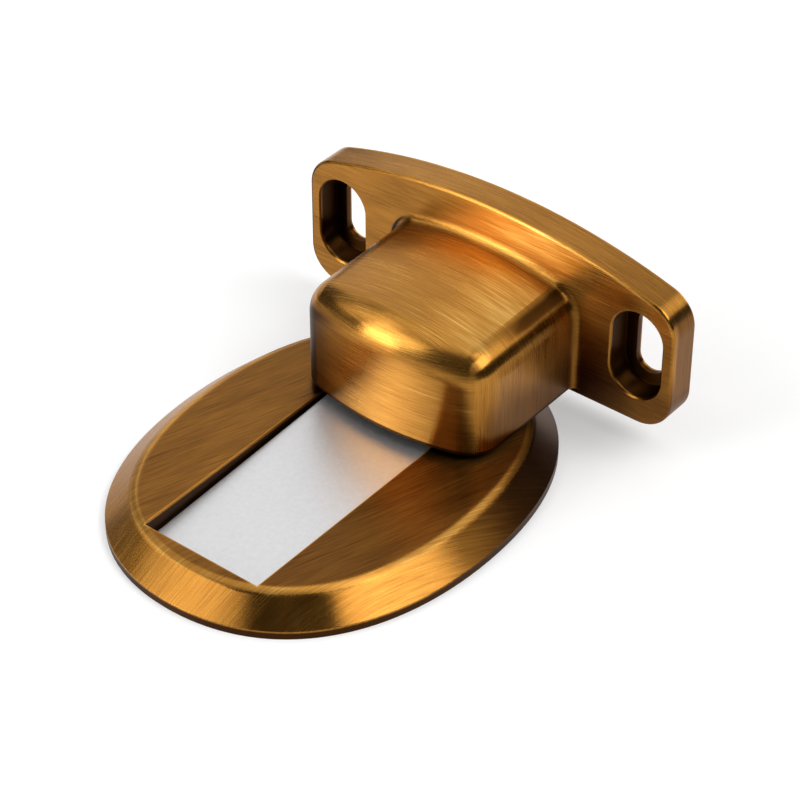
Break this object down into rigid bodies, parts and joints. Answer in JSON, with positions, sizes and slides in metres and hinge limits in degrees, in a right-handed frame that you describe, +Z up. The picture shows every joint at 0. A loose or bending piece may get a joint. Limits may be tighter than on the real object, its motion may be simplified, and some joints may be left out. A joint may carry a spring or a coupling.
{
  "type": "concealed magnetic door stop",
  "caption": "Door stop in two halves: an oval floor plate with a hinged steel catch flap lying in its recess, and a door bracket whose housing holds a magnet over the flap.",
  "frame": {"origin": "centre of the floor plate's underside, on the floor", "axes": "+X along the door plate, +Y from the floor plate towards the door, +Z up"},
  "size_m": [0.0616, 0.0677, 0.0287],
  "materials": {
    "antique_bronze": "brushed antique bronze plating on die-cast zinc",
    "satin_steel": "plain satin steel",
    "black_plastic": "black moulded plastic",
    "ferrite": "ground dark grey ferrite"
  },
  "bodies": {
    "floor_half": {"floor_plate": "antique_bronze"},
    "flap": {"catch_flap": "satin_steel"},
    "door_half": {"door_bracket": "antique_bronze", "magnet_holder": "black_plastic", "magnet": "ferrite"}
  },
  "joints": [
    {"name": "flap_hinge", "type": "hinge", "parent": "floor_half", "child": "flap", "pos_m": [0, -0.0255, 0.0018], "axis": [1, 0, 0], "range_deg": [0, 1.8]},
    {"name": "door_travel", "type": "slide", "parent": "floor_half", "child": "door_half", "axis": [0, 1, 0], "range_m": [0, 0.045]}
  ]
}
